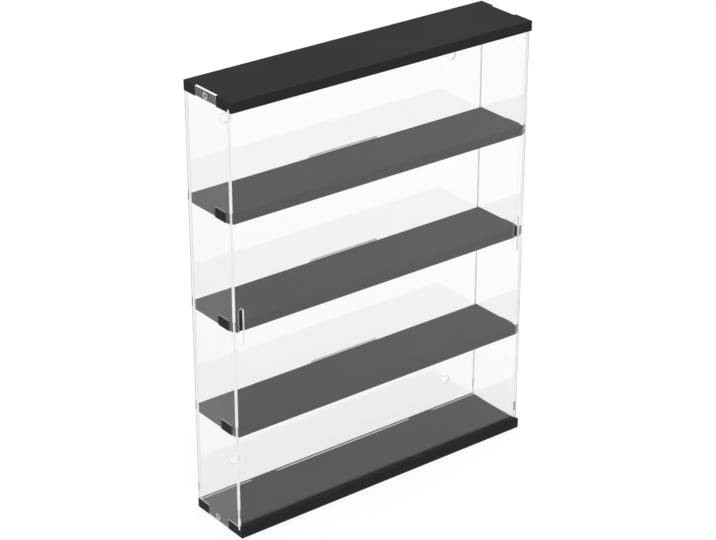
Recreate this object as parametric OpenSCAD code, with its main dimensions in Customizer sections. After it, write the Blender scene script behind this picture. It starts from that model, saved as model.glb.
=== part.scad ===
// Wall or table case for trading cards, cut from flat sheet.
// Black panels and shelves carry clear walls by tabs in notches and slots.
// Screws through their tabs hold the side walls, the back wall stands between
// them in slots, and the front panel slides out sideways in two grooves.
// X runs along the width, Y from the front to the back, Z up from the base.

/* [Case] */
// Width over the ends of the black panels
case_w = 344; // [300:1:400]
// Depth of the black panels, front to back
case_d = 73; // [68:1:90]
// Clear height of a tier when the shelves stand evenly spaced
tier_h = 97; // [85:1:120]

/* [Sheet] */
// Thickness of the black sheet of the panels and shelves
black_t = 10; // [9:0.5:14]
// Thickness of the clear sheet of the walls
clear_t = 2.5; // [2.5:0.5:4]

/* [Front panel] */
// Black edge left standing in front of a groove
lip_t = 3.2; // [2.4:0.2:5]
// Depth of the groove that the front panel runs in
groove_depth = 3; // [2:0.5:4]
// Width of a finger slot
finger_w = 5.2; // [4.6:0.2:8]
// Height of a finger slot over its round ends
finger_h = 37; // [25:1:60]
// Distance from the end of the panel to the middle of a finger slot
finger_inset = 7.8; // [6:0.2:12]

/* [Side panels] */
// Width of the tab at the top and bottom of a side panel
side_tab_w = 32; // [20:1:44]
// Black edge left standing behind the side panels
side_setback = 1; // [0.5:0.5:1.5]

/* [Back panel] */
// Width of each tab at the top and bottom of the back panel
back_tab_w = 30; // [20:1:40]
// Distance from the end of the case to the middle of a back tab
back_tab_inset = 74; // [60:1:90]
// Distance from the outer face of a black panel to the end of a back tab
back_tab_recess = 3; // [2:0.5:5]
// Black edge left standing behind the back panel
back_setback = 2.5; // [2:0.5:4]
// Bore of a hole for a wall screw
wall_hole_d = 9; // [5:0.5:10]
// Distance from the end of the case to the middle of a wall hole
wall_hole_inset = 41; // [30:1:50]
// Height of the lower wall holes above the base panel
wall_hole_rise = 29.5; // [20:0.5:60]
// Drop of the upper wall holes below the top panel
wall_hole_drop = 35; // [20:0.5:60]

/* [Shelves] */
// Distance that the lower shelf stands below even spacing
lower_shelf_drop = 1.5; // [0:0.5:4]
// Gap between the front edge of a shelf and the front panel
shelf_gap = 0.6; // [0.4:0.2:3]
// Width of the tab at each end of a shelf
shelf_tab_w = 16.5; // [12:0.5:30]
// Distance from the front of the case to an end tab
shelf_tab_start = 13; // [11:0.5:20]
// Width of the tab at the back of a shelf
shelf_back_tab_w = 80; // [40:1:120]

/* [Fixings] */
// Thread diameter of a screw
screw_d = 3; // [2.5:0.5:3]
// Diameter of a screw's flat head
screw_head_d = 6; // [5.6:0.1:6.6]
// Length of a screw over its head
screw_l = 10; // [8:1:14]
// Straight rim of a screw's head above its cone
screw_rim = 0.3; // [0.2:0.1:0.4]
// Width across the flats of a screw's socket
socket_w = 2; // [1.5:0.5:2]
// Depth of a screw's socket
socket_depth = 1.1; // [0.8:0.1:1.3]
// Outer diameter of a threaded insert
insert_d = 4.6; // [4.2:0.1:5.4]
// Length of a threaded insert
insert_l = 6; // [4:0.5:6]

/* [Fits] */
// Running clearance of the front panel on each of its faces
slide_gap = 0.2; // [0.1:0.05:0.3]
// Clearance on each side of a tab in its notch or slot
tab_gap = 0.2; // [0.1:0.05:0.3]
// Clearance round a screw in a clear panel, on the radius
screw_gap = 0.2; // [0.1:0.05:0.3]
// Clearance between a screw and its insert, on the radius
thread_gap = 0.1; // [0.05:0.05:0.15]
// Clearance between an insert and its bore, on the radius
insert_gap = 0.05; // [0.05:0.01:0.1]
// Room left in the bore beyond the tip of a screw
tip_room = 1; // [0.5:0.5:2]

/* [Hidden] */
$fn = 64;
cut = 1;
black = "#2b2b2b";
clear = "#dfeef2";
steel = "#9a9ca0";
brass = "#c8a24a";

tiers = 4;
case_h = tiers * tier_h + (tiers + 1) * black_t;
half_w = case_w / 2;
inner_half_w = half_w - clear_t;

// Places along the depth, from the front to the back
front_y = -case_d / 2;
groove_y = front_y + lip_t;
groove_w = clear_t + 2 * slide_gap;
front_panel_y = groove_y + slide_gap;
side_front_y = groove_y + groove_w + slide_gap;
shelf_front_y = front_panel_y + clear_t + shelf_gap;
side_back_y = case_d / 2 - side_setback;
back_outer_y = case_d / 2 - back_setback;
back_inner_y = back_outer_y - clear_t;
side_mid_y = (side_front_y + side_back_y) / 2;

// Places along the width
back_tab_x = half_w - back_tab_inset;
wall_hole_x = half_w - wall_hole_inset;

// A screw's bore in a black panel starts at the floor of the notch
insert_bore_l = screw_l - clear_t + tip_room;

// Height of the underside of shelf 1, 2 or 3, counted from the bottom
function shelf_z(level) =
    level * (tier_h + black_t) - (level == 1 ? lower_shelf_drop : 0);

// Height of the middle of the base panel or the top panel
function tab_z(at_top) = at_top ? case_h - black_t / 2 : black_t / 2;

// A rectangle given by its lowest and highest corners
module box_2d(low, high) {
    translate(low)
        square(high - low);
}

// Stands a flat outline up across the width, so that it faces the front
module stand_facing_front(y, thickness) {
    translate([0, y + thickness, 0])
        rotate([90, 0, 0])
            linear_extrude(thickness)
                children();
}

// Stands a flat outline of depth and height up at the left end
module stand_at_left_end(thickness) {
    translate([-half_w, 0, 0])
        rotate([90, 0, 90])
            linear_extrude(thickness)
                children();
}

// Puts a part whose face is at z = 0, looking up, on the outside of an end tab
module on_end_tab(side, at_top) {
    translate([side * half_w, side_mid_y, tab_z(at_top)])
        rotate([0, side * 90, 0])
            children();
}

// The space that a flat-head screw takes below z = 0, grown by gap on its radius
module screw_body(gap, length) {
    head_r = screw_head_d / 2 + gap;
    shank_r = screw_d / 2 + gap;
    cone_h = (screw_head_d - screw_d) / 2;
    rotate_extrude()
        polygon([
            [0, 0],
            [head_r, 0],
            [head_r, -screw_rim],
            [shank_r, -screw_rim - cone_h],
            [shank_r, -length],
            [0, -length]
        ]);
}

// A flat-head screw with a hexagon socket, its head's face at z = 0
module screw() {
    tip = 0.4;
    difference() {
        screw_body(0, screw_l);
        translate([0, 0, -socket_depth])
            cylinder(h = socket_depth + cut, d = socket_w / cos(30), $fn = 6);
        translate([0, 0, -screw_l])
            rotate_extrude()
                polygon([
                    [screw_d / 2 - tip, 0],
                    [screw_d / 2 + cut, tip + cut],
                    [screw_d / 2 + cut, 0]
                ]);
    }
}

// A threaded insert whose mouth is level with the floor of a notch
module insert() {
    translate([0, 0, -clear_t - insert_l])
        difference() {
            cylinder(h = insert_l, d = insert_d);
            translate([0, 0, -cut])
                cylinder(h = insert_l + 2 * cut, d = screw_d + 2 * thread_gap);
        }
}

// The bore for an insert, open through the floor of a notch
module insert_bore() {
    translate([0, 0, -clear_t - insert_bore_l])
        cylinder(h = insert_bore_l + clear_t, d = insert_d + 2 * insert_gap);
}

// The countersunk hole for a screw through clear sheet
module countersink() {
    screw_body(screw_gap, clear_t + cut);
    cylinder(h = cut, r = screw_head_d / 2 + screw_gap);
}

// Notch in the end of a black panel for a side panel's tab
module end_notch(side) {
    half = side_tab_w / 2 + tab_gap;
    x = side > 0 ? inner_half_w : -half_w - cut;
    translate([x, side_mid_y - half, -cut])
        cube([clear_t + cut, 2 * half, black_t + 2 * cut]);
}

// Slot through a black panel for a tab of the back panel
module back_slot(side) {
    half = back_tab_w / 2 + tab_gap;
    translate([side * back_tab_x - half, back_inner_y - tab_gap, -cut])
        cube([2 * half, clear_t + 2 * tab_gap, black_t + 2 * cut]);
}

// A black panel as it lies in the base, with its groove on top
module black_panel() {
    difference() {
        translate([-half_w, front_y, 0])
            cube([case_w, case_d, black_t]);
        translate([-half_w - cut, groove_y, black_t - groove_depth])
            cube([case_w + 2 * cut, groove_w, groove_depth + cut]);
        for (side = [-1, 1]) {
            end_notch(side);
            back_slot(side);
            on_end_tab(side, false)
                insert_bore();
        }
    }
}

// The slots that one tier's shelf needs in an upright panel, between a and b
module shelf_slots(a, b) {
    for (level = [1 : tiers - 1])
        box_2d(
            [a - tab_gap, shelf_z(level)],
            [b + tab_gap, shelf_z(level) + black_t + tab_gap]
        );
}

// The clear wall at the left end, with its tabs, slots and countersunk holes
module side_panel() {
    tab_y = side_mid_y - side_tab_w / 2;
    slot_y = front_y + shelf_tab_start;
    difference() {
        stand_at_left_end(clear_t)
            difference() {
                union() {
                    box_2d([side_front_y, black_t], [side_back_y, case_h - black_t]);
                    box_2d([tab_y, 0], [tab_y + side_tab_w, case_h]);
                }
                shelf_slots(slot_y, slot_y + shelf_tab_w);
            }
        for (at_top = [false, true])
            on_end_tab(-1, at_top)
                countersink();
    }
}

// One upright slot with round ends, for a fingertip
module finger_slot() {
    straight = finger_h - finger_w;
    square([finger_w, straight], center = true);
    for (end = [-1, 1])
        translate([0, end * straight / 2])
            circle(d = finger_w);
}

// A shelf lying with its underside at z = 0
module shelf() {
    tab_y = front_y + shelf_tab_start;
    linear_extrude(black_t) {
        box_2d([-inner_half_w, shelf_front_y], [inner_half_w, back_inner_y]);
        box_2d([-half_w, tab_y], [half_w, tab_y + shelf_tab_w]);
        box_2d([-shelf_back_tab_w / 2, back_inner_y - cut], [shelf_back_tab_w / 2, back_outer_y]);
    }
}

module base_panel() {
    color(black)
        black_panel();
}

module top_panel() {
    color(black)
        translate([0, 0, case_h])
            mirror([0, 0, 1])
                black_panel();
}

module left_side_panel() {
    color(clear, 0.35)
        side_panel();
}

module right_side_panel() {
    color(clear, 0.35)
        mirror([1, 0, 0])
            side_panel();
}

module back_panel() {
    edge_x = inner_half_w - tab_gap;
    half_tab = back_tab_w / 2;
    color(clear, 0.35)
        stand_facing_front(back_inner_y, clear_t)
            difference() {
                union() {
                    box_2d([-edge_x, black_t], [edge_x, case_h - black_t]);
                    for (side = [-1, 1])
                        translate([side * back_tab_x, 0])
                            box_2d([-half_tab, back_tab_recess], [half_tab, case_h - back_tab_recess]);
                }
                shelf_slots(-shelf_back_tab_w / 2, shelf_back_tab_w / 2);
                for (side = [-1, 1])
                    for (z = [black_t + wall_hole_rise, case_h - black_t - wall_hole_drop])
                        translate([side * wall_hole_x, z])
                            circle(d = wall_hole_d);
            }
}

module front_panel() {
    low_z = black_t - groove_depth + slide_gap;
    color(clear, 0.35)
        stand_facing_front(front_panel_y, clear_t)
            difference() {
                box_2d([-half_w, low_z], [half_w, case_h - low_z]);
                for (side = [-1, 1])
                    translate([side * (half_w - finger_inset), case_h / 2])
                        finger_slot();
            }
}

module lower_shelf() {
    color(black)
        translate([0, 0, shelf_z(1)])
            shelf();
}

module middle_shelf() {
    color(black)
        translate([0, 0, shelf_z(2)])
            shelf();
}

module upper_shelf() {
    color(black)
        translate([0, 0, shelf_z(3)])
            shelf();
}

module left_base_screw() {
    color(steel) on_end_tab(-1, false) screw();
}

module left_top_screw() {
    color(steel) on_end_tab(-1, true) screw();
}

module right_base_screw() {
    color(steel) on_end_tab(1, false) screw();
}

module right_top_screw() {
    color(steel) on_end_tab(1, true) screw();
}

module left_base_insert() {
    color(brass) on_end_tab(-1, false) insert();
}

module left_top_insert() {
    color(brass) on_end_tab(-1, true) insert();
}

module right_base_insert() {
    color(brass) on_end_tab(1, false) insert();
}

module right_top_insert() {
    color(brass) on_end_tab(1, true) insert();
}

base_panel();
top_panel();
left_side_panel();
right_side_panel();
back_panel();
front_panel();
lower_shelf();
middle_shelf();
upper_shelf();
left_base_screw();
left_top_screw();
right_base_screw();
right_top_screw();
left_base_insert();
left_top_insert();
right_base_insert();
right_top_insert();
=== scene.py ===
# %% [markdown]
# # A display case for trading cards, dressed for its portrait
#
# The case is cut from two kinds of acrylic sheet. Black sheet makes the base, the top and the three
# shelves, and clear sheet makes the four walls. Tabs, slots and small screws hold it together, and the
# front wall slides out sideways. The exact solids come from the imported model, so this script adds what
# the eye needs: eased edges, real screws and inserts, finishes, light and a camera.

# %% Load the model that everything is fitted to
from math import cos, pi, radians, sin, tau

import bmesh
import bpy
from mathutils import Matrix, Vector
from mathutils.bvhtree import BVHTree


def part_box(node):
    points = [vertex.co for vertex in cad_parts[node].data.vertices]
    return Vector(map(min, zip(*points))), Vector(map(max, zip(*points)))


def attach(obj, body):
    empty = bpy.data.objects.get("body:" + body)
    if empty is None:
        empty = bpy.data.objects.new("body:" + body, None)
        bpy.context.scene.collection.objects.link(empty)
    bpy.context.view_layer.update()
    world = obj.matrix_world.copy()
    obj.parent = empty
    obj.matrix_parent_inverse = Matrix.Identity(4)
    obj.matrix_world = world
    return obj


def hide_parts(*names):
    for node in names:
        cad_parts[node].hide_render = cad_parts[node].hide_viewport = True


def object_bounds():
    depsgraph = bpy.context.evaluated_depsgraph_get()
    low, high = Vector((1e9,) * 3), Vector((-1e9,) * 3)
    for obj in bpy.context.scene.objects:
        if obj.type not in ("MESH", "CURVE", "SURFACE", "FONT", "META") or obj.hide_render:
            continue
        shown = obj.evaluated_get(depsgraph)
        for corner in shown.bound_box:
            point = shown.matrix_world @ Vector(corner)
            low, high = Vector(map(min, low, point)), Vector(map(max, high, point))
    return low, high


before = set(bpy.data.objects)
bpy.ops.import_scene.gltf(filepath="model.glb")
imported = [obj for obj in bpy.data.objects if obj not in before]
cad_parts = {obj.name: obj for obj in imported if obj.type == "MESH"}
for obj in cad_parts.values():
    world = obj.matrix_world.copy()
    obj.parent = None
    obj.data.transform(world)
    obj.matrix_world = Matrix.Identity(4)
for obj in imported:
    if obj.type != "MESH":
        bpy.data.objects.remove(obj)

cad_low, cad_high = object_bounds()
print("case, in metres:", [round(high - low, 4) for low, high in zip(cad_low, cad_high)])

# %% [markdown]
# ## Small helpers
#
# Blender works in linear light, while a given colour is an sRGB value such as #2B2B2B. One
# function turns the second into the first, so every colour below can be read and changed by eye.
# Another adds a node to any tree, with its settings, its values and its links in one line, because a
# tree made of such lines reads from top to bottom as a recipe. A third builds a mask from several such
# nodes, because dark patches and fine lines are both bands along one coordinate.

# %% Helpers for colour and node trees
MM = 0.001


def linear(hex_colour):
    """An sRGB colour such as "#2B2B2B" as linear red, green, blue and alpha."""
    channels = [int(hex_colour[i:i + 2], 16) / 255 for i in (1, 3, 5)]
    return [c / 12.92 if c <= 0.04045 else ((c + 0.055) / 1.055) ** 2.4 for c in channels] + [1.0]


def add(tree, kind, settings=None, values=None, links=None):
    """A new node in a tree, with its settings, its socket values and the sockets that feed it."""
    made = tree.nodes.new(kind)
    made.location = (220 * len(tree.nodes), 0)
    for name, value in (settings or {}).items():
        setattr(made, name, value)
    for name, value in (values or {}).items():
        made.inputs[name].default_value = value
    for name, source in (links or {}).items():
        tree.links.new(source, made.inputs[name])
    return made


def within(tree, source, spans, soft):
    """One where a coordinate lies in any of the spans and nought elsewhere, with soft edges."""
    found = None
    for low, high in spans:
        half = (high - low) / 2
        away = add(tree, "ShaderNodeMath", {"operation": "SUBTRACT"}, {1: (low + high) / 2}, {0: source})
        far = add(tree, "ShaderNodeMath", {"operation": "ABSOLUTE"}, links={0: away.outputs[0]})
        inside = add(tree, "ShaderNodeMapRange", {"interpolation_type": "SMOOTHSTEP"},
                     {"From Min": half - soft, "From Max": half + soft, "To Min": 1.0, "To Max": 0.0},
                     {"Value": far.outputs[0]}).outputs[0]
        found = inside if found is None else add(tree, "ShaderNodeMath", {"operation": "MAXIMUM"},
                                                 links={0: found, 1: inside}).outputs[0]
    return found


def new_material(name):
    """An empty material and its node tree."""
    material = bpy.data.materials.new(name)
    material.use_nodes = True
    material.node_tree.nodes.clear()
    return material, material.node_tree


print("black sheet is", [round(c, 4) for c in linear("#2B2B2B")[:3]], "in linear light")

# %% [markdown]
# ## The camera
#
# The photograph looks down on the case from its front left. A pinhole camera was fitted to the
# photographed edges, which gave its place, its two angles and its focal length. Fitting all of them
# together matters: a guessed focal length can be hidden by a wrong distance, and then the near and far
# corners never line up at once.

# %% Place the camera where the photograph was taken
CAMERA_PLACE = Vector((-1.1816, -1.5180, 1.1467))
CAMERA_HEADING = radians(37.745)
CAMERA_TILT = radians(-25.836)
FOCAL_LENGTH = 113.1
SENSOR_WIDTH = 36.0

gaze = Vector((
    cos(CAMERA_TILT) * sin(CAMERA_HEADING),
    cos(CAMERA_TILT) * cos(CAMERA_HEADING),
    sin(CAMERA_TILT),
))
lens = bpy.data.cameras.new("portrait_lens")
lens.sensor_fit = "HORIZONTAL"
lens.sensor_width = SENSOR_WIDTH
lens.lens = FOCAL_LENGTH
camera = bpy.data.objects.new("portrait_camera", lens)
camera.rotation_mode = "QUATERNION"
camera.rotation_quaternion = gaze.to_track_quat("-Z", "Y")
camera.location = CAMERA_PLACE
bpy.context.scene.collection.objects.link(camera)
bpy.context.scene.camera = camera
print("camera stands", round((CAMERA_PLACE - (cad_low + cad_high) / 2).length, 3), "m from the case")

# %% [markdown]
# ## Floor and sky
#
# A product picture on white needs a floor that is white to the eye and still takes a soft shadow. More
# light on the floor would do it, but it would also burn out the object. So the floor shows the camera a
# mix of its own shading and a little glow, and to every other ray it is plain pale paint. Mirrors and
# clear sheet have to see the same white, or they would look dark against it, so their rays get a glow
# too. A ray that came through clear sheet counts as glossy as well, so that case is asked for first.
#
# The foot of the front wall mirrors the strip of floor right before the base, and that strip lies in
# the base's own shadow. The glow would wipe this shadow out, so the mirrored floor goes dark there.
# That is what makes the photographed wall fade away just above the black edge.

# %% Paint the floor
FLOOR_GLOW = 0.8
FLOOR_GLOW_THROUGH = 0.77
FLOOR_GLOW_MIRRORED = 0.67
FLOOR_GLOW_AT_LEFT = 0.54
FLOOR_SHADE = "#959595"
FLOOR_PAINT = "#E6E6E6"
SHADOW_PAINT = "#101010"
SHADOW_START = (7 * MM, 9 * MM)
SHADOW_END = (9 * MM, 16 * MM)

floor_material, tree = new_material("pale_studio_floor")
rays = add(tree, "ShaderNodeLightPath")
seen = add(tree, "ShaderNodeMath", {"operation": "ADD", "use_clamp": True},
           links={0: rays.outputs["Is Camera Ray"], 1: rays.outputs["Is Transmission Ray"]})
seen_or_mirrored = add(tree, "ShaderNodeMath", {"operation": "ADD", "use_clamp": True},
                       links={0: seen.outputs[0], 1: rays.outputs["Is Glossy Ray"]})
paint = add(tree, "ShaderNodeBsdfDiffuse", values={"Color": linear(FLOOR_PAINT)})
shade = add(tree, "ShaderNodeBsdfDiffuse", values={"Color": linear(FLOOR_SHADE)})
place = add(tree, "ShaderNodeTexCoord")
spot = add(tree, "ShaderNodeSeparateXYZ", links={"Vector": place.outputs["Object"]})
# Seen in mirrors, the floor glows less towards the left of the case, as painted shade.
across = add(tree, "ShaderNodeMapRange", None,
             {"From Min": 2 * cad_low.x, "From Max": cad_low.x, "To Min": FLOOR_GLOW_AT_LEFT,
              "To Max": FLOOR_GLOW_MIRRORED}, {"Value": spot.outputs["X"]})
glow_mirrored = add(tree, "ShaderNodeMix", {"data_type": "FLOAT"}, {2: FLOOR_GLOW},
                    {0: rays.outputs["Is Glossy Ray"], 3: across.outputs[0]})
glow_strength = add(tree, "ShaderNodeMix", {"data_type": "FLOAT"}, {3: FLOOR_GLOW_THROUGH},
                    {0: rays.outputs["Is Transmission Ray"], 2: glow_mirrored.outputs[0]})
glow = add(tree, "ShaderNodeEmission", links={"Strength": glow_strength.outputs[0]})
white = add(tree, "ShaderNodeAddShader", links={0: shade.outputs[0], 1: glow.outputs[0]})
mixed = add(tree, "ShaderNodeMixShader",
            links={0: seen_or_mirrored.outputs[0], 1: paint.outputs[0], 2: white.outputs[0]})
before_base = add(tree, "ShaderNodeMath", {"operation": "SUBTRACT"}, {0: cad_low.y}, {1: spot.outputs["Y"]})
starting = add(tree, "ShaderNodeMapRange", {"interpolation_type": "SMOOTHSTEP"},
               {"From Min": SHADOW_START[0], "From Max": SHADOW_START[1]},
               {"Value": before_base.outputs[0]})
ending = add(tree, "ShaderNodeMapRange", {"interpolation_type": "SMOOTHSTEP"},
             {"From Min": SHADOW_END[0], "From Max": SHADOW_END[1], "To Min": 1.0, "To Max": 0.0},
             {"Value": before_base.outputs[0]})
band = add(tree, "ShaderNodeMath", {"operation": "MULTIPLY"},
           links={0: starting.outputs[0], 1: ending.outputs[0]})
beside = add(tree, "ShaderNodeMath", {"operation": "ABSOLUTE"}, links={0: spot.outputs["X"]})
along_base = add(tree, "ShaderNodeMapRange", {"interpolation_type": "SMOOTHSTEP"},
                 {"From Min": cad_high.x + SHADOW_END[0], "From Max": cad_high.x + SHADOW_END[1],
                  "To Min": 1.0, "To Max": 0.0}, {"Value": beside.outputs[0]})
in_shadow = add(tree, "ShaderNodeMath", {"operation": "MULTIPLY"},
                links={0: band.outputs[0], 1: along_base.outputs[0]})
mirrored_shadow = add(tree, "ShaderNodeMath", {"operation": "MULTIPLY"},
                      links={0: in_shadow.outputs[0], 1: rays.outputs["Is Glossy Ray"]})
dark = add(tree, "ShaderNodeBsdfDiffuse", values={"Color": linear(SHADOW_PAINT)})
shadowed = add(tree, "ShaderNodeMixShader",
               links={0: mirrored_shadow.outputs[0], 1: mixed.outputs[0], 2: dark.outputs[0]})
add(tree, "ShaderNodeOutputMaterial", links={"Surface": shadowed.outputs[0]})
print(floor_material.name, "has", len(tree.nodes), "nodes")

# %% Lay the floor
FLOOR_SIZE = 12.0
FLOOR_DROP = 0.2 * MM

half = FLOOR_SIZE / 2
corners = [(-half, -half, 0), (half, -half, 0), (half, half, 0), (-half, half, 0)]
floor_mesh = bpy.data.meshes.new("studio_floor")
floor_mesh.from_pydata(corners, [], [(0, 1, 2, 3)])
floor_mesh.materials.append(floor_material)
floor = bpy.data.objects.new("studio_floor", floor_mesh)
floor.location.z = -FLOOR_DROP
bpy.context.scene.collection.objects.link(floor)
print("floor is", FLOOR_SIZE, "m across")

# %% [markdown]
# ## Light
#
# The world is an even, pale sky that does most of the work, as a white tent round a product does. Two
# large soft lamps give it a direction: one above, so that the top panel reads lighter than the fronts,
# and one from the front left. Both are big, because clear sheet would mirror a small lamp as a hard
# spot.

# %% Fill the world with soft light
SKY_LIGHT = 0.55
SKY_MIRRORED = 0.6

world = bpy.data.worlds.new("white_tent")
world.use_nodes = True
world.node_tree.nodes.clear()
tree = world.node_tree
rays = add(tree, "ShaderNodeLightPath")
seen = add(tree, "ShaderNodeMath", {"operation": "ADD", "use_clamp": True},
           links={0: rays.outputs["Is Camera Ray"], 1: rays.outputs["Is Transmission Ray"]})
glossy = add(tree, "ShaderNodeMix", {"data_type": "FLOAT"}, {2: SKY_LIGHT, 3: SKY_MIRRORED},
             {0: rays.outputs["Is Glossy Ray"]})
strength = add(tree, "ShaderNodeMix", {"data_type": "FLOAT"}, {3: 1.0},
               {0: seen.outputs[0], 2: glossy.outputs[0]})
sky = add(tree, "ShaderNodeBackground", values={"Color": linear("#FFFFFF")},
          links={"Strength": strength.outputs[0]})
add(tree, "ShaderNodeOutputWorld", links={"Surface": sky.outputs[0]})
bpy.context.scene.world = world
bpy.context.scene.view_settings.view_transform = "Standard"
print("sky lights at", SKY_LIGHT, "and mirrors at", SKY_MIRRORED)

# %% Hang the two soft lamps
case_middle = (cad_low + cad_high) / 2


def soft_lamp(name, place, width, power):
    """A square area lamp at a place, turned to the middle of the case."""
    light = bpy.data.lights.new(name, "AREA")
    light.shape = "SQUARE"
    light.size = width
    light.energy = power
    lamp = bpy.data.objects.new(name, light)
    lamp.location = place
    lamp.rotation_mode = "QUATERNION"
    lamp.rotation_quaternion = (case_middle - Vector(place)).to_track_quat("-Z", "Y")
    bpy.context.scene.collection.objects.link(lamp)
    return lamp


lamps = [
    soft_lamp("overhead_softbox", (0.3, 0.2, 2.6), 2.0, 15.0),
    soft_lamp("front_left_softbox", (-0.75, -2.4, 1.7), 1.6, 22.0),
]
print(len(lamps), "soft lamps")

# %% [markdown]
# ## Panels with eased edges
#
# A saw or a laser leaves an acrylic edge sharp, and a maker always breaks it a little, because a bare
# edge cuts. That tiny flat is what catches a thread of light along every edge. The solids have perfect
# corners, so each panel is copied, welded, cleared of needless edges and bevelled by a fraction of a
# millimetre. A bevel modifier on the solid would be shorter, but its loose triangles have nothing to
# bevel.
#
# Where two sheets touch, the real ones keep a film of air between them, and the walls mirror light at
# that film. Two faces in one place would lose it, so a wall shrinks by a hair before it is bevelled.
#
# A sheet has two kinds of surface, its cast faces and its cut edges, and each gets a finish of its own.
# The thinnest side of a panel's box tells which is which. Rays sent out from the cut edges then tell
# the kinds apart. A free edge meets nothing. The wall of a slot meets the opposite wall, and if it
# curves, it is the wall of a hole. A wall that is turned to the right or the back is seen through the
# sheet alone and is a kind of its own. An edge that sits against black sheet meets that sheet.

# %% A function that eases a panel's edges
WELD = 0.001 * MM
LEVEL = radians(0.5)
SHARP = radians(30)
FLUSH = 0.999
TURNED = 0.3
CAST_FACE, CUT_EDGE, SLOT_WALL, HOLE_WALL, COVERED_EDGE, TURNED_WALL = range(6)
AIR_FILM = 0.02 * MM
COVERED_WITHIN = 0.5 * MM
SHELVES = ["lower_shelf", "middle_shelf", "upper_shelf"]
BLACK_NODES = ["base_panel", "top_panel"] + SHELVES
CLEAR_NODES = ["left_side_panel", "right_side_panel", "back_panel", "front_panel"]


def tree_of_solids(nodes):
    """The solids of several nodes as one tree that rays can be cast into."""
    bm = bmesh.new()
    for node in nodes:
        bm.from_mesh(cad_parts[node].data)
    tree = BVHTree.FromBMesh(bm)
    bm.free()
    return tree


def surface_kind(face, thin, own, black):
    """Which kind of surface a panel's face is, from its direction and from what stands before it."""
    start = face.calc_center_median() + face.normal * AIR_FILM
    if abs(face.normal[thin]) > FLUSH:
        return CAST_FACE
    if own.ray_cast(start, face.normal)[0]:
        if max(face.normal.x, face.normal.y) > TURNED:
            return TURNED_WALL
        flat = max(abs(part) for part in face.normal) > FLUSH
        return SLOT_WALL if flat else HOLE_WALL
    if black and black.ray_cast(start, face.normal, COVERED_WITHIN)[0]:
        return COVERED_EDGE
    return CUT_EDGE


def eased_sheet(node, ease, hair, black=None):
    """A copy of a panel's solid, smaller by hair on each face, with its edges broken by ease."""
    bm = bmesh.new()
    bm.from_mesh(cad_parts[node].data)
    bmesh.ops.remove_doubles(bm, verts=bm.verts, dist=WELD)
    bmesh.ops.dissolve_limit(bm, angle_limit=LEVEL, verts=bm.verts, edges=bm.edges)
    bm.normal_update()
    moves = [(v, v.normal * v.calc_shell_factor() * -hair) for v in bm.verts]
    for vertex, move in moves:
        vertex.co += move
    sharp = [e for e in bm.edges if len(e.link_faces) == 2 and e.calc_face_angle() > SHARP]
    bmesh.ops.bevel(bm, geom=sharp, offset=ease, segments=2, profile=0.5, affect="EDGES", clamp_overlap=False)
    bmesh.ops.triangulate(bm, faces=[f for f in bm.faces if len(f.verts) > 4])
    low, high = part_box(node)
    sides = list(high - low)
    thin = sides.index(min(sides))
    own = BVHTree.FromBMesh(bm)
    for face in bm.faces:
        face.smooth = False
        face.material_index = surface_kind(face, thin, own, black)
    mesh = bpy.data.meshes.new(node + "_sheet")
    bm.to_mesh(mesh)
    bm.free()
    piece = bpy.data.objects.new(node + "_sheet", mesh)
    bpy.context.scene.collection.objects.link(piece)
    return piece


print("the sheets keep", AIR_FILM / MM, "mm of air between them")

# %% Ease every panel and shelf
BLACK_EASE = 0.25 * MM
CLEAR_EASE = 0.15 * MM

black_solids = tree_of_solids(BLACK_NODES)
black_sheets = [eased_sheet(node, BLACK_EASE, 0) for node in BLACK_NODES]
clear_sheets = [eased_sheet(node, CLEAR_EASE, AIR_FILM, black_solids) for node in CLEAR_NODES]
for piece in black_sheets + clear_sheets:
    print(piece.name, len(piece.data.polygons), "faces")

# %% [markdown]
# ## Finish: satin black cast acrylic
#
# Cast acrylic is PMMA, a clear plastic with a refractive index of 1.49, here filled with black pigment.
# A satin sheet is cast against etched glass. That leaves a very fine grain which takes the mirror off
# it, so the base and the shelves show a soft even grey from above instead of a picture of the room.
# The grain is about 0.05 mm on the real sheet and is drawn at 0.4 mm, as coarse as it needs to show.
# A slow cloud, some 60 mm wide, stands for the faint unevenness of the pigment.
#
# An image texture could hold the grain, but noise on real coordinates has no seams and keeps its true
# scale on every panel. Most of a noise lies between 0.3 and 0.7, so that part is spread over the range
# of roughness.

# %% Make the black sheet's cast face
SHEET_IOR = 1.49
SATIN_SPECULAR = 0.06
SATIN_ROUGHNESS = (0.42, 0.5)
NOISE_LOW, NOISE_HIGH = 0.3, 0.7
GRAIN = 0.4 * MM
GRAIN_DEPTH = 0.02 * MM
RELIEF = 0.1
CLOUD = 60 * MM


def noise(tree, place, size, detail=2.0, stretch=(1, 1, 1)):
    """Noise on real coordinates whose lumps are about size metres across, drawn out by stretch."""
    scaled = add(tree, "ShaderNodeMapping", values={"Scale": stretch},
                 links={"Vector": place.outputs["Object"]})
    return add(tree, "ShaderNodeTexNoise", values={"Scale": 1 / size, "Detail": detail},
               links={"Vector": scaled.outputs[0]})


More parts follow.
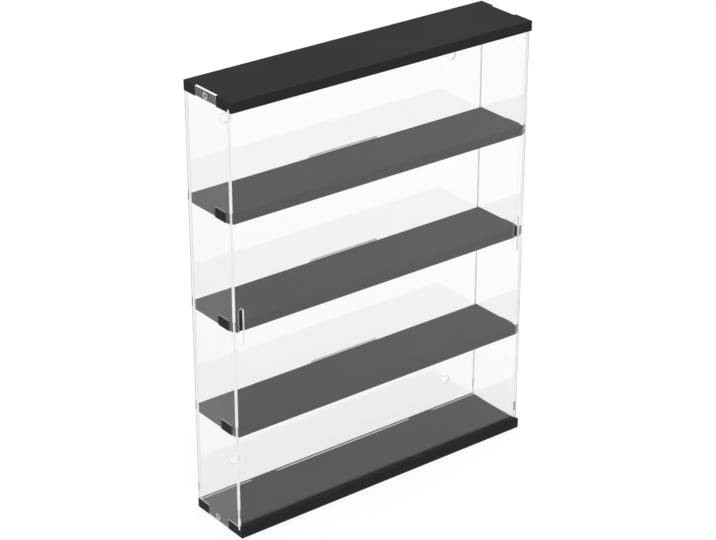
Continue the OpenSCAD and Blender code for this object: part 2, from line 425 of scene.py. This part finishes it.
def black_face_material():
    """Satin black cast acrylic: a soft even grey from above."""
    material, tree = new_material("satin_black_cast_acrylic")
    place = add(tree, "ShaderNodeTexCoord")
    cloud = noise(tree, place, CLOUD, detail=4.0)
    grain = noise(tree, place, GRAIN, detail=3.0)
    rough = add(tree, "ShaderNodeMapRange",
                values={"From Min": NOISE_LOW, "From Max": NOISE_HIGH,
                        "To Min": SATIN_ROUGHNESS[0], "To Max": SATIN_ROUGHNESS[1]},
                links={"Value": cloud.outputs[0]})
    tone = add(tree, "ShaderNodeMix", {"data_type": "RGBA"}, {6: linear("#282828"), 7: linear("#2B2B2C")},
               {0: cloud.outputs[0]})
    bump = add(tree, "ShaderNodeBump", values={"Strength": RELIEF, "Distance": GRAIN_DEPTH},
               links={"Height": grain.outputs[0]})
    sheet = add(tree, "ShaderNodeBsdfPrincipled",
                values={"IOR": SHEET_IOR, "Specular IOR Level": SATIN_SPECULAR},
                links={"Base Color": tone.outputs[2], "Roughness": rough.outputs[0],
                       "Normal": bump.outputs[0]})
    add(tree, "ShaderNodeOutputMaterial", links={"Surface": sheet.outputs[0]})
    return material


black_face = black_face_material()
print(black_face.name, "has", len(black_face.node_tree.nodes), "nodes")

# %% [markdown]
# ## Finish: the cut edge of the black sheet
#
# The edge is milled and then scraped. It is as black as the face, a little smoother, and carries the
# fine lines that the cutter leaves across the thickness, about 0.3 mm apart.
#
# The walls of the grooves and slots are cut the same way, but clear sheet stands in them and pipes some
# light down to them. A trace of glow stands for it, or the foot of each wall would end in a black line.

# %% Make the black sheet's cut edge
CUT_LINE = 0.3 * MM
UPRIGHT = (1, 1, 0.02)
MILLED_ROUGHNESS = (0.36, 0.42)
MARK_DEPTH = 0.01 * MM
GROOVE_GLOW = 0.03


def tool_marks(tree, place, size, roughness, detail=2.0, stretch=(1, 1, 1)):
    """Marks that a tool leaves, as links for a shader: a roughness between two values, and a relief."""
    marks = noise(tree, place, size, detail, stretch)
    rough = add(tree, "ShaderNodeMapRange",
                values={"From Min": NOISE_LOW, "From Max": NOISE_HIGH,
                        "To Min": roughness[0], "To Max": roughness[1]},
                links={"Value": marks.outputs[0]})
    bump = add(tree, "ShaderNodeBump", values={"Strength": RELIEF, "Distance": MARK_DEPTH},
               links={"Height": marks.outputs[0]})
    return {"Roughness": rough.outputs[0], "Normal": bump.outputs[0]}


def black_edge_material(name, glow):
    """Milled edge of black acrylic: fine upright lines, a little glossier than the face."""
    material, tree = new_material(name)
    place = add(tree, "ShaderNodeTexCoord")
    edge = add(tree, "ShaderNodeBsdfPrincipled",
               values={"Base Color": linear("#2A2A2A"), "IOR": SHEET_IOR,
                       "Specular IOR Level": SATIN_SPECULAR, "Emission Color": linear("#FFFFFF"),
                       "Emission Strength": glow},
               links=tool_marks(tree, place, CUT_LINE, MILLED_ROUGHNESS, stretch=UPRIGHT))
    add(tree, "ShaderNodeOutputMaterial", links={"Surface": edge.outputs[0]})
    return material


black_edge = black_edge_material("milled_black_acrylic_edge", 0.0)
groove_wall = black_edge_material("milled_groove_wall", GROOVE_GLOW)
for piece in black_sheets:
    for material in (black_face, black_edge, groove_wall, groove_wall, black_edge, groove_wall):
        piece.data.materials.append(material)
print(black_face.name, "and", black_edge.name, "on", len(black_sheets), "pieces")

# %% [markdown]
# ## Finish: clear cast acrylic
#
# The walls are the same plastic without pigment. It bends light by its index of 1.49, mirrors about a
# tenth of what faces it and keeps about three hundredths to itself. Its faces are cast against polished
# glass and are never perfectly flat, so a very slow swell lets the mirrored lines waver a little.
# Glass would be the wrong choice here: its cut edges are green, while acrylic's stay white.

# %% Make the clear sheet's cast face
SWELL = 90 * MM
SWELL_DEPTH = 0.05 * MM
SWELL_STRENGTH = 0.5
SHEET_TINT = "#FDFDFD"


def slow_swell(tree, place):
    """The slow swell of a cast face, as a normal for its shader."""
    lumps = noise(tree, place, SWELL, detail=1.0)
    bump = add(tree, "ShaderNodeBump", values={"Strength": SWELL_STRENGTH, "Distance": SWELL_DEPTH},
               links={"Height": lumps.outputs[0]})
    return bump.outputs[0]


def clear_face_material():
    """Clear cast acrylic: colourless, polished, with a trace of swell."""
    material, tree = new_material("clear_cast_acrylic")
    place = add(tree, "ShaderNodeTexCoord")
    sheet = add(tree, "ShaderNodeBsdfPrincipled",
                values={"Base Color": linear(SHEET_TINT), "IOR": SHEET_IOR, "Transmission Weight": 1.0,
                        "Roughness": 0.0},
                links={"Normal": slow_swell(tree, place)})
    add(tree, "ShaderNodeOutputMaterial", links={"Surface": sheet.outputs[0]})
    return material


clear_face = clear_face_material()
print(clear_face.name, "has", len(clear_face.node_tree.nodes), "nodes")

# %% [markdown]
# ## Finish, painted glow and painted shade: the cut edge of the clear sheet
#
# Light that enters a wall through its faces is caught between them, runs to the edges and leaves there.
# That is why the edges of clear acrylic draw bright white lines round a case, in front of white and
# black alike. A renderer stops following a ray long before it has bounced that far, so the edge is
# given a pale skin and a little glow of its own, which stands for the light that the sheet brings to
# it. The laser's fine lines lie across the thickness.
#
# Where a black tab or the black base stands behind the edge, its darkness is painted there instead, as a
# patch of painted shade. The way in leads down as well as back, so a dark patch sits a little higher on
# the edge than its cause.

# %% Make the clear sheet's cut edge
EDGE_GLOW = 0.2
LASER_ROUGHNESS = (0.2, 0.3)
FAINT = 0.12
PATCH_RISE = 1.5 * MM
PATCH_SOFT = 0.5 * MM
BASE_PATCH = (8 * MM, 18 * MM)


def dark_patches():
    """The heights, from low to high, of painted shade on a side wall's edge, where something black stands
    behind it.
    """
    base_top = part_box("base_panel")[1].z
    patches = [(base_top + BASE_PATCH[0], base_top + BASE_PATCH[1])]
    for node in SHELVES:
        low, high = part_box(node)
        patches.append((low.z + PATCH_RISE, high.z + PATCH_RISE))
    return patches


def clear_edge_material(name, pale, dark=None, glow=EDGE_GLOW):
    """Cut edge of clear acrylic: pale, glowing as painted light, with painted shade where dark is given."""
    material, tree = new_material(name)
    place = add(tree, "ShaderNodeTexCoord")
    links = tool_marks(tree, place, CUT_LINE, LASER_ROUGHNESS)
    if dark:
        spot = add(tree, "ShaderNodeSeparateXYZ", links={"Vector": place.outputs["Object"]})
        # Patches of painted shade, where black stands behind the edge.
        patched = within(tree, spot.outputs["Z"], dark_patches(), PATCH_SOFT)
        tone = add(tree, "ShaderNodeMix", {"data_type": "RGBA"}, {6: linear(pale), 7: linear(dark)},
                   {0: patched})
        links["Base Color"] = links["Emission Color"] = tone.outputs[2]
    edge = add(tree, "ShaderNodeBsdfPrincipled",
               values={"Base Color": linear(pale), "IOR": SHEET_IOR, "Emission Color": linear(pale),
                       "Emission Strength": glow},
               links=links)
    add(tree, "ShaderNodeOutputMaterial", links={"Surface": edge.outputs[0]})
    return material


def faint_wall_material():
    """Wall of a finger slot seen through the sheet: hardly there, as its light comes from behind it."""
    material, tree = new_material("polished_slot_wall")
    wall = add(tree, "ShaderNodeBsdfPrincipled",
               values={"Base Color": linear("#F0F0F0"), "IOR": SHEET_IOR,
                       "Roughness": LASER_ROUGHNESS[0], "Alpha": FAINT})
    add(tree, "ShaderNodeOutputMaterial", links={"Surface": wall.outputs[0]})
    return material


patches = [(round(low / MM, 1), round(high / MM, 1)) for low, high in dark_patches()]
print("dark patches on the side walls' edges, in mm:", patches)

# %% [markdown]
# ## Painted lines on the clear sheet over a shelf's back tab
#
# Each shelf reaches through the back wall with one wide tab. From the front a thin pale line with a dark
# one over it stands above every such tab, about 2 mm high in all. It is most likely the cut wall of the
# slot, seen through the sheet, and the traced one comes out too thin. So the two lines are painted on the
# wall's front face, in one material whose transmission falls to nought on them: the pale line is a painted
# highlight that glows, and the dark line is painted shade.

# %% Make the face with a line over each back tab
BACK_TAB = 80 * MM
PALE_LINE = (0.1 * MM, 1.2 * MM)
DARK_LINE = (1.2 * MM, 2.0 * MM)
PAINTED_HIGHLIGHT_TONE = "#F0F0F0"
PAINTED_SHADE_TONE = "#3C3C3C"
# The painted lines glow: painted light.
LINE_GLOW = 0.6
LINE_ROUGHNESS = 0.3
LINE_SOFT = 0.1 * MM


def over_tabs(tree, spot, line):
    """One where the wall's front face lies over a back tab, between two heights above the shelf's top."""
    wall_low, wall_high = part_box("back_panel")
    half_wall = (wall_high.y - wall_low.y) / 2
    tops = [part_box(node)[1].z for node in SHELVES]
    in_front = within(tree, spot.outputs["Y"], [(wall_low.y - half_wall, wall_low.y + half_wall)], LINE_SOFT)
    at_tab = within(tree, spot.outputs["X"], [(-BACK_TAB / 2, BACK_TAB / 2)], LINE_SOFT)
    at_height = within(tree, spot.outputs["Z"], [(top + line[0], top + line[1]) for top in tops], LINE_SOFT)
    over_tab = add(tree, "ShaderNodeMath", {"operation": "MULTIPLY"}, links={0: at_tab, 1: at_height})
    return add(tree, "ShaderNodeMath", {"operation": "MULTIPLY"},
               links={0: over_tab.outputs[0], 1: in_front}).outputs[0]


def back_face_material():
    """Clear cast acrylic with a glowing line of painted highlight and a line of painted shade over each back
    tab.
    """
    material, tree = new_material("clear_acrylic_with_painted_lines_over_tabs")
    place = add(tree, "ShaderNodeTexCoord")
    spot = add(tree, "ShaderNodeSeparateXYZ", links={"Vector": place.outputs["Object"]})
    pale = over_tabs(tree, spot, PALE_LINE)
    dark = over_tabs(tree, spot, DARK_LINE)
    drawn = add(tree, "ShaderNodeMath", {"operation": "MAXIMUM"}, links={0: pale, 1: dark})
    clear = add(tree, "ShaderNodeMapRange", {"interpolation_type": "SMOOTHSTEP"},
                {"To Min": 1.0, "To Max": 0.0}, {"Value": drawn.outputs[0]})
    rough = add(tree, "ShaderNodeMapRange", {"interpolation_type": "SMOOTHSTEP"},
                {"To Min": 0.0, "To Max": LINE_ROUGHNESS}, {"Value": drawn.outputs[0]})
    tone = add(tree, "ShaderNodeMix", {"data_type": "RGBA"}, {6: linear(SHEET_TINT), 7: linear(PAINTED_HIGHLIGHT_TONE)},
               {0: pale})
    tones = add(tree, "ShaderNodeMix", {"data_type": "RGBA"}, {7: linear(PAINTED_SHADE_TONE)},
                {0: dark, 6: tone.outputs[2]})
    glow = add(tree, "ShaderNodeMix", {"data_type": "RGBA"}, {6: linear("#000000")},
               {0: drawn.outputs[0], 7: tones.outputs[2]})
    sheet = add(tree, "ShaderNodeBsdfPrincipled", values={"IOR": SHEET_IOR, "Emission Strength": LINE_GLOW},
                links={"Base Color": tones.outputs[2], "Emission Color": glow.outputs[2],
                       "Transmission Weight": clear.outputs[0], "Roughness": rough.outputs[0],
                       "Normal": slow_swell(tree, place)})
    add(tree, "ShaderNodeOutputMaterial", links={"Surface": sheet.outputs[0]})
    return material


back_face = back_face_material()
print(back_face.name, "has", len(back_face.node_tree.nodes), "nodes")

# %% [markdown]
# ## Hand out the clear sheet's finishes and its painted shade
#
# The same kind of wall can look different from sheet to sheet. A slot's roof in a side wall or the back
# wall lies over a dark tab, so it is painted grey as painted shade, with a strong glow of painted light,
# while the front panel's finger slots hold nothing and stay pale. The side walls' slot walls that are
# turned to the right or the back are painted dark grey, as painted shade from the tab beside them. Small
# dictionaries say so by node, and what they leave out takes the common finish of its kind.

# %% Make each kind of cut edge and give every clear sheet its own
clear_edge = clear_edge_material("cut_clear_acrylic_edge", "#FAFAFA")
# The side walls' edges: pale and glowing, with patches of painted shade.
edge_with_painted_shade = clear_edge_material("cut_clear_edge_with_painted_shade", "#FAFAFA", "#7C7C7C")
# A slot's roof over a tab: painted grey as the tab's shade, with a strong glow of painted light.
slot_edge = clear_edge_material("cut_clear_wall_over_tab", "#989898", glow=1.0)
# A wall turned to the right or the back beside a tab: painted dark grey as shade, with some glow.
tab_side = clear_edge_material("cut_clear_wall_beside_tab", "#3A3A3A", glow=0.5)
faint_wall = faint_wall_material()
FREE_EDGE = {"left_side_panel": edge_with_painted_shade, "right_side_panel": edge_with_painted_shade}
IN_SLOT = {"front_panel": clear_edge}
IN_HOLE = {"front_panel": clear_edge, "back_panel": clear_edge}
SEEN_THROUGH = {"left_side_panel": tab_side, "right_side_panel": tab_side, "front_panel": faint_wall}
CAST = {"back_panel": back_face}
for piece, node in zip(clear_sheets, CLEAR_NODES):
    kinds = [CAST.get(node, clear_face), FREE_EDGE.get(node, clear_edge), IN_SLOT.get(node, slot_edge),
             IN_HOLE.get(node, clear_face), clear_face, SEEN_THROUGH.get(node, clear_face)]
    for material in kinds:
        piece.data.materials.append(material)
print(clear_face.name, "and", clear_edge.name, "on", len(clear_sheets), "pieces")

# %% [markdown]
# ## One screw, turned like the real thing
#
# The screws are small flat-head machine screws with a hexagon socket. Their round parts follow a
# profile, so the mesh is a set of rings. A ring's radius may depend on the angle as well as on the
# height, and that is all a thread is: the crest climbs by one pitch in each turn. The socket is cut
# with a six-sided ring, so nothing has to be subtracted.

# %% Turn rings into a closed mesh
SOCKET = 2.0 * MM
AROUND = 48


def ringed_mesh(name, rings, around):
    """A closed mesh from rings of points. The first and last ring are each closed by one face."""
    bm = bmesh.new()
    loops = [[bm.verts.new(ring(tau * i / around)) for i in range(around)] for ring in rings]
    for lower, upper in zip(loops, loops[1:]):
        for i in range(around):
            k = (i + 1) % around
            bm.faces.new((lower[i], lower[k], upper[k], upper[i]))
    bm.faces.new(list(reversed(loops[0])))
    bm.faces.new(loops[-1])
    bmesh.ops.recalc_face_normals(bm, faces=bm.faces)
    mesh = bpy.data.meshes.new(name)
    bm.to_mesh(mesh)
    bm.free()
    mesh.shade_smooth()
    mesh.set_sharp_from_angle(angle=SHARP)
    return mesh


def circle_at(radius, height):
    """A ring: every angle to a point at one radius and height."""
    return lambda turn: (radius * cos(turn), radius * sin(turn), height)


def hexagon_at(across_flats, height):
    """A ring that follows a hexagon, given by the distance across its flats."""
    def point(turn):
        radius = across_flats / 2 / cos((turn % (pi / 3)) - pi / 6)
        return (radius * cos(turn), radius * sin(turn), height)
    return point


def thread_at(root, depth, pitch, height):
    """A ring of a screw thread: its crest lies where height and angle are in step."""
    def point(turn):
        phase = (height / pitch - turn / tau) % 1
        radius = root + depth * (1 - abs(2 * phase - 1))
        return (radius * cos(turn), radius * sin(turn), height)
    return point


corner = max(hexagon_at(SOCKET, 0)(tau * i / AROUND)[0] for i in range(AROUND))
print("a socket", SOCKET / MM, "mm across its flats reaches out", round(corner / MM, 2), "mm")

# %% Build the screw
screw_low, screw_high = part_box("left_base_screw")
HEAD_D = screw_high.y - screw_low.y
SCREW_L = screw_high.x - screw_low.x
THREAD_D = 3.0 * MM
PITCH = 0.5 * MM
HEAD_RIM = 0.3 * MM
SOCKET_DEPTH = 1.1 * MM
SOCKET_FLARE = 0.15 * MM
SOCKET_CONE = 0.25 * MM
SOCKET_FOOT = 0.35 * SOCKET
THREAD_DEPTH = 0.3 * MM
RINGS_A_TURN = 8
PLAIN_SHANK = 0.5 * MM
TIP = 0.5 * MM
TIP_EASE = 0.2 * MM
HEAD_EASE = 0.12 * MM
cone_foot = -HEAD_RIM - (HEAD_D - THREAD_D) / 2
thread_top = cone_foot - PLAIN_SHANK
rows = int((SCREW_L + thread_top - TIP) / (PITCH / RINGS_A_TURN))

screw_rings = [
    circle_at(SOCKET_FOOT, -SOCKET_DEPTH - SOCKET_CONE),
    hexagon_at(SOCKET, -SOCKET_DEPTH),
    hexagon_at(SOCKET, -SOCKET_FLARE),
    hexagon_at(SOCKET + 2 * SOCKET_FLARE, 0),
    circle_at(HEAD_D / 2 - 2 * HEAD_EASE, 0),
    circle_at(HEAD_D / 2 - 0.3 * HEAD_EASE, -0.3 * HEAD_EASE),
    circle_at(HEAD_D / 2, -HEAD_EASE),
    circle_at(HEAD_D / 2, -HEAD_RIM),
    circle_at(THREAD_D / 2, cone_foot),
    circle_at(THREAD_D / 2, thread_top),
]
for row in range(1, rows + 1):
    height = thread_top - row * PITCH / RINGS_A_TURN
    screw_rings.append(thread_at(THREAD_D / 2 - THREAD_DEPTH, THREAD_DEPTH, PITCH, height))
screw_rings.append(circle_at(THREAD_D / 2 - THREAD_DEPTH, -SCREW_L + TIP_EASE))
screw_rings.append(circle_at(THREAD_D / 2 - 1.5 * THREAD_DEPTH, -SCREW_L))
screw_mesh = ringed_mesh("flat_head_screw", screw_rings, AROUND)
print("one screw:", len(screw_mesh.polygons), "faces, head", round(HEAD_D / MM, 2), "mm")

# %% Mark the inside of the socket
in_socket = screw_mesh.attributes.new("in_socket", "FLOAT", "POINT")
for item, vertex in zip(in_socket.data, screw_mesh.vertices):
    sunk = -SOCKET_DEPTH - SOCKET_CONE - WELD < vertex.co.z < -SOCKET_FLARE / 2
    item.value = 1.0 if sunk and vertex.co.xy.length < corner + WELD else 0.0
marked = sum(item.value for item in in_socket.data)
print(int(marked), "points lie in the socket")

# %% [markdown]
# ## One threaded insert
#
# A brass insert is pressed or melted into the edge of the black sheet, and two bands of crossed
# knurling keep it from turning. The knurl is worked out the same way as the thread: two sets of
# ridges that climb opposite ways, and the higher of the two wins at each point. The bore is the same
# ring going back down the inside.

# %% Build the insert
insert_low, insert_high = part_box("left_base_insert")
INSERT_D = insert_high.y - insert_low.y
INSERT_L = insert_high.x - insert_low.x
KNURL = 0.25 * MM
KNURL_BANDS = [(0.06, 0.44), (0.56, 0.94)]
KNURL_STEPS = 12
RIDGES = 24
INSERT_AROUND = 96
CHAMFER = 0.1 * MM
THREAD_GAP = 0.1 * MM
bore = THREAD_D / 2 + THREAD_GAP


def knurl_at(radius, depth, ridges, height):
    """A ring of crossed knurling: the higher of two ridges that climb opposite ways."""
    def point(turn):
        climb = height / (tau * radius)
        waves = [abs(((turn / tau + way * climb) * ridges) % 1 - 0.5) * 2 for way in (-1, 1)]
        reach = radius - depth + depth * max(waves)
        return (reach * cos(turn), reach * sin(turn), height)
    return point


def insert_rings():
    """Rings from the mouth down the outside and back up the bore."""
    rings = [circle_at(bore + CHAMFER, 0), circle_at(INSERT_D / 2 - KNURL, 0)]
    for start, end in KNURL_BANDS:
        rings.append(circle_at(INSERT_D / 2 - KNURL, -start * INSERT_L))
        for step in range(KNURL_STEPS + 1):
            height = -INSERT_L * (start + (end - start) * step / KNURL_STEPS)
            rings.append(knurl_at(INSERT_D / 2, KNURL, RIDGES, height))
        rings.append(circle_at(INSERT_D / 2 - KNURL, -end * INSERT_L))
    rings.append(circle_at(INSERT_D / 2 - KNURL, -INSERT_L))
    rings.append(circle_at(bore, -INSERT_L))
    rings.append(circle_at(bore, -CHAMFER))
    rings.append(circle_at(bore + CHAMFER, 0))
    return rings


def tube_mesh(name, rings, around):
    """A mesh whose last ring meets its first, so that it has a bore."""
    mesh = ringed_mesh(name, rings, around)
    bm = bmesh.new()
    bm.from_mesh(mesh)
    bmesh.ops.delete(bm, geom=[f for f in bm.faces if len(f.verts) == around], context="FACES_ONLY")
    bmesh.ops.remove_doubles(bm, verts=bm.verts, dist=WELD)
    bmesh.ops.recalc_face_normals(bm, faces=bm.faces)
    bm.to_mesh(mesh)
    bm.free()
    return mesh


insert_mesh = tube_mesh("knurled_insert", insert_rings(), INSERT_AROUND)
print("one insert:", len(insert_mesh.polygons), "faces")

# %% [markdown]
# ## Finishes: stainless steel and brass
#
# The screws are turned stainless steel: pale, and a little dulled by the fine rings of the tool. The
# inserts are turned brass, warmer and about as bright. Both are metals, so their colour is the colour
# of their reflection, and a fine noise in their roughness keeps them from looking like mirrors. A
# screw's socket is deep and holds some dirt, so an attribute of the mesh marks it, and the steel is
# painted dark there: painted shade of the deep hollow, and dirt.

# %% Make the metals
TOOL_RING = 0.3 * MM
STEEL_ROUGHNESS = (0.22, 0.36)
BRASS_ROUGHNESS = (0.24, 0.38)


def turned_metal(name, colour, roughness, shade_and_dirt=None):
    """A turned metal: its colour, a roughness that varies a little, and a dark socket tone for painted shade
    and dirt.
    """
    material, tree = new_material(name)
    place = add(tree, "ShaderNodeTexCoord")
    links = tool_marks(tree, place, TOOL_RING, roughness, detail=3.0)
    if shade_and_dirt:
        inside = add(tree, "ShaderNodeAttribute", {"attribute_name": "in_socket"})
        tone = add(tree, "ShaderNodeMix", {"data_type": "RGBA"}, {6: linear(colour), 7: linear(shade_and_dirt)},
                   {0: inside.outputs["Fac"]})
        links["Base Color"] = tone.outputs[2]
    metal = add(tree, "ShaderNodeBsdfPrincipled", values={"Base Color": linear(colour), "Metallic": 1.0},
                links=links)
    add(tree, "ShaderNodeOutputMaterial", links={"Surface": metal.outputs[0]})
    return material


stainless = turned_metal("turned_stainless_steel", "#C4C6C8", STEEL_ROUGHNESS, shade_and_dirt="#2A2A2A")
brass = turned_metal("turned_brass", "#D9B75F", BRASS_ROUGHNESS)
print("metals:", stainless.name, "and", brass.name)

# %% [markdown]
# ## Four of each, set by one node tree
#
# Every screw and every insert sits on an end tab and points out of it. Copying one four times by hand
# would work, but then a change to the screw means four changes. A Geometry Nodes tree takes a cloud of
# points that each know which way is out, puts a copy on every point and turns it that way. A fixed
# random spin about its own axis keeps the sockets from lining up, as no one drives four screws to the
# same angle.

# %% The tree that places fixings
def placing_tree(name):
    """Puts one object on every point, its Z along the point's outward direction, with a random spin."""
    tree = bpy.data.node_groups.new(name, "GeometryNodeTree")
    sockets = tree.interface
    sockets.new_socket("Geometry", in_out="INPUT", socket_type="NodeSocketGeometry")
    sockets.new_socket("Fixing", in_out="INPUT", socket_type="NodeSocketObject")
    sockets.new_socket("Metal", in_out="INPUT", socket_type="NodeSocketMaterial")
    sockets.new_socket("Largest spin", in_out="INPUT", socket_type="NodeSocketFloat")
    sockets.new_socket("Geometry", in_out="OUTPUT", socket_type="NodeSocketGeometry")
    given = add(tree, "NodeGroupInput")
    outward = add(tree, "GeometryNodeInputNamedAttribute", {"data_type": "FLOAT_VECTOR"}, {"Name": "outward"})
    turned = add(tree, "FunctionNodeAlignRotationToVector", {"axis": "Z"},
                 links={"Vector": outward.outputs["Attribute"]})
    spin = add(tree, "FunctionNodeRandomValue", {"data_type": "FLOAT"}, {2: 0.0, "Seed": 7},
               {3: given.outputs["Largest spin"]})
    about_axis = add(tree, "FunctionNodeAxisAngleToRotation", values={"Axis": (0, 0, 1)},
                     links={"Angle": spin.outputs[1]})
    facing = add(tree, "FunctionNodeRotateRotation", {"rotation_space": "LOCAL"},
                 links={"Rotation": turned.outputs[0], "Rotate By": about_axis.outputs[0]})
    fixing = add(tree, "GeometryNodeObjectInfo", values={"As Instance": True},
                 links={"Object": given.outputs["Fixing"]})
    placed = add(tree, "GeometryNodeInstanceOnPoints",
                 links={"Points": given.outputs["Geometry"], "Instance": fixing.outputs["Geometry"],
                        "Rotation": facing.outputs[0]})
    real = add(tree, "GeometryNodeRealizeInstances", links={"Geometry": placed.outputs[0]})
    finished = add(tree, "GeometryNodeSetMaterial",
                   links={"Geometry": real.outputs[0], "Material": given.outputs["Metal"]})
    add(tree, "NodeGroupOutput", links={"Geometry": finished.outputs[0]})
    return tree


tree = placing_tree("place_fixings")
print(tree.name, "has", len(tree.nodes), "nodes")

# %% Find where each fixing points and set the copies
def fixing_points(nodes):
    """For each node, the middle of its outer face and the direction it looks in."""
    points = []
    for node in nodes:
        low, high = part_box(node)
        place = (low + high) / 2
        at_left = node.startswith("left")
        place.x = low.x if at_left else high.x
        points.append((place, Vector((-1 if at_left else 1, 0, 0))))
    return points


def set_fixings(name, mesh, metal, nodes):
    """One piece that holds a copy of mesh at every node, and stands for those nodes."""
    points = fixing_points(nodes)
    cloud = bpy.data.meshes.new(name + "_points")
    cloud.from_pydata([tuple(place) for place, _ in points], [], [])
    outward = cloud.attributes.new("outward", "FLOAT_VECTOR", "POINT")
    for item, (_, direction) in zip(outward.data, points):
        item.vector = direction
    pattern = bpy.data.objects.new(name + "_pattern", mesh)
    holder = bpy.data.objects.new(name + "_points", cloud)
    bpy.context.scene.collection.objects.link(holder)
    modifier = holder.modifiers.new("place", "NODES")
    modifier.node_group = bpy.data.node_groups["place_fixings"]
    values = {"Fixing": pattern, "Metal": metal, "Largest spin": tau}
    for item in modifier.node_group.interface.items_tree:
        if item.in_out == "INPUT" and item.name in values:
            modifier[item.identifier] = values[item.name]
    graph = bpy.context.evaluated_depsgraph_get()
    made = bpy.data.meshes.new_from_object(holder.evaluated_get(graph))
    made.name = name
    piece = bpy.data.objects.new(name, made)
    bpy.context.scene.collection.objects.link(piece)
    bpy.data.objects.remove(holder)
    bpy.data.objects.remove(pattern)
    return piece


ENDS = ["left_base", "left_top", "right_base", "right_top"]
screw_nodes = [place + "_screw" for place in ENDS]
insert_nodes = [place + "_insert" for place in ENDS]
screws = set_fixings("flat_head_screws", screw_mesh, stainless, screw_nodes)
inserts = set_fixings("knurled_inserts", insert_mesh, brass, insert_nodes)
print(screws.name, len(screws.data.polygons), "faces;", inserts.name, len(inserts.data.polygons), "faces")

# %% [markdown]
# ## Tie every piece to the body it moves with
#
# The front panel slides, and everything else stays with the case. Each dressed piece rides on its body and
# takes the place of the solid it stands for.

# %% Ride and replace
for piece, node in zip(black_sheets + clear_sheets, BLACK_NODES + CLEAR_NODES):
    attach(piece, "sliding_front" if node == "front_panel" else "case")
    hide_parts(node)
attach(screws, "case")
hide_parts(*screw_nodes)
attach(inserts, "case")
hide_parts(*insert_nodes)
print(len(black_sheets) + len(clear_sheets) + 2, "pieces ride on the case and its sliding front")
